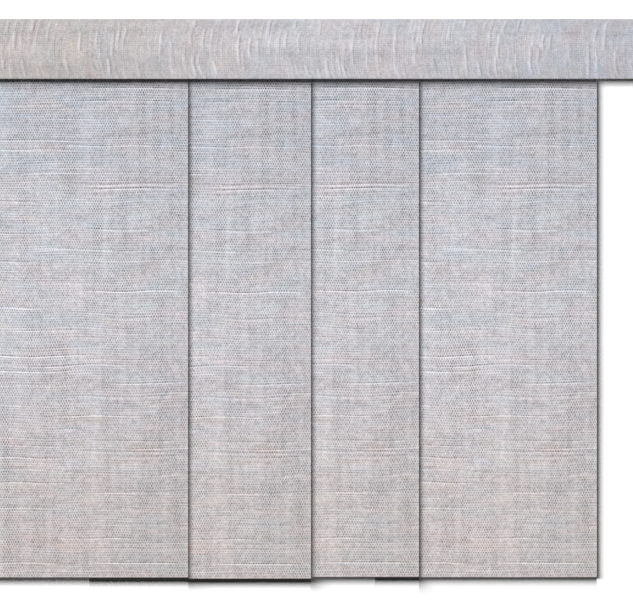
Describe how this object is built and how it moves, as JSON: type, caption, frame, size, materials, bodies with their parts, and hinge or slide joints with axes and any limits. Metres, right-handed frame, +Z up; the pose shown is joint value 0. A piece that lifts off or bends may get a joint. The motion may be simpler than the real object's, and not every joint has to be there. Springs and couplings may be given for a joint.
{
  "type": "sliding panel curtain",
  "caption": "Flat slub-weave cloth panels that slide one behind the other on a wall-fixed track, behind a cloth-covered bowed valance with returns.",
  "frame": {"origin": "the middle of the centre wall bracket's two screw holes, on the wall face", "axes": "+Z up, +X to the right seen from the room, +Y into the wall; the wall is the plane Y = 0"},
  "size_m": [2.2256, 0.0998, 1.513],
  "materials": {
    "slub_cloth": "plain weave with slub cross yarns, warm grey",
    "woven_tape": "woven hook and loop fastening tape",
    "anodised_aluminium": "extruded, satin anodised",
    "plated_steel": "pressed, zinc plated",
    "white_plastic": "moulded acetal",
    "grey_plastic": "moulded, fine texture",
    "foam_board": "extruded foamed vinyl board"
  },
  "bodies": {
    "headrail": {"track": "anodised_aluminium", "track_end_cap_left": "grey_plastic", "track_end_cap_right": "grey_plastic", "wall_bracket_left": "plated_steel", "wall_bracket_centre": "plated_steel", "wall_bracket_right": "plated_steel", "valance_board": "foam_board", "valance_fabric": "slub_cloth", "return_board_left": "foam_board", "return_fabric_left": "slub_cloth", "corner_brace_left": "plated_steel", "return_board_right": "foam_board", "return_fabric_right": "slub_cloth", "corner_brace_right": "plated_steel", "brace_screws": "plated_steel", "valance_clip_1": "white_plastic", "valance_clip_2": "white_plastic", "valance_clip_3": "white_plastic"},
    "turn_lock_left": {"turn_lock_left": "white_plastic"},
    "turn_lock_centre": {"turn_lock_centre": "white_plastic"},
    "turn_lock_right": {"turn_lock_right": "white_plastic"},
    "panel_1": {"panel_1_fabric": "slub_cloth", "panel_1_carrier": "anodised_aluminium", "panel_1_carrier_caps": "grey_plastic", "panel_1_hook_tape": "woven_tape", "panel_1_loop_tape": "woven_tape", "panel_1_glider_left": "white_plastic", "panel_1_glider_right": "white_plastic", "panel_1_bottom_bar": "anodised_aluminium", "panel_1_bar_plugs": "grey_plastic"},
    "panel_2": {"panel_2_fabric": "slub_cloth", "panel_2_carrier": "anodised_aluminium", "panel_2_carrier_caps": "grey_plastic", "panel_2_hook_tape": "woven_tape", "panel_2_loop_tape": "woven_tape", "panel_2_glider_left": "white_plastic", "panel_2_glider_right": "white_plastic", "panel_2_bottom_bar": "anodised_aluminium", "panel_2_bar_plugs": "grey_plastic"},
    "panel_3": {"panel_3_fabric": "slub_cloth", "panel_3_carrier": "anodised_aluminium", "panel_3_carrier_caps": "grey_plastic", "panel_3_hook_tape": "woven_tape", "panel_3_loop_tape": "woven_tape", "panel_3_glider_left": "white_plastic", "panel_3_glider_right": "white_plastic", "panel_3_bottom_bar": "anodised_aluminium", "panel_3_bar_plugs": "grey_plastic"},
    "panel_4": {"panel_4_fabric": "slub_cloth", "panel_4_carrier": "anodised_aluminium", "panel_4_carrier_caps": "grey_plastic", "panel_4_hook_tape": "woven_tape", "panel_4_loop_tape": "woven_tape", "panel_4_glider_left": "white_plastic", "panel_4_glider_right": "white_plastic", "panel_4_bottom_bar": "anodised_aluminium", "panel_4_bar_plugs": "grey_plastic"}
  },
  "joints": [
    {"name": "panel_1_slide", "type": "slide", "parent": "headrail", "child": "panel_1", "axis": [1, 0, 0], "range_m": [-0.1485, 1.4425]},
    {"name": "panel_2_slide", "type": "slide", "parent": "headrail", "child": "panel_2", "axis": [1, 0, 0], "range_m": [-0.4805, 1.1105]},
    {"name": "panel_3_slide", "type": "slide", "parent": "headrail", "child": "panel_3", "axis": [1, 0, 0], "range_m": [-0.7725, 0.8185]},
    {"name": "panel_4_slide", "type": "slide", "parent": "headrail", "child": "panel_4", "axis": [1, 0, 0], "range_m": [-1.2535, 0.3375]},
    {"name": "turn_lock_left_turn", "type": "hinge", "parent": "headrail", "child": "turn_lock_left", "pos_m": [-0.8, -0.043, -0.0275], "axis": [0, 0, -1], "range_deg": [0, 90]},
    {"name": "turn_lock_centre_turn", "type": "hinge", "parent": "headrail", "child": "turn_lock_centre", "pos_m": [0, -0.043, -0.0275], "axis": [0, 0, -1], "range_deg": [0, 90]},
    {"name": "turn_lock_right_turn", "type": "hinge", "parent": "headrail", "child": "turn_lock_right", "pos_m": [0.8, -0.043, -0.0275], "axis": [0, 0, -1], "range_deg": [0, 90]}
  ]
}
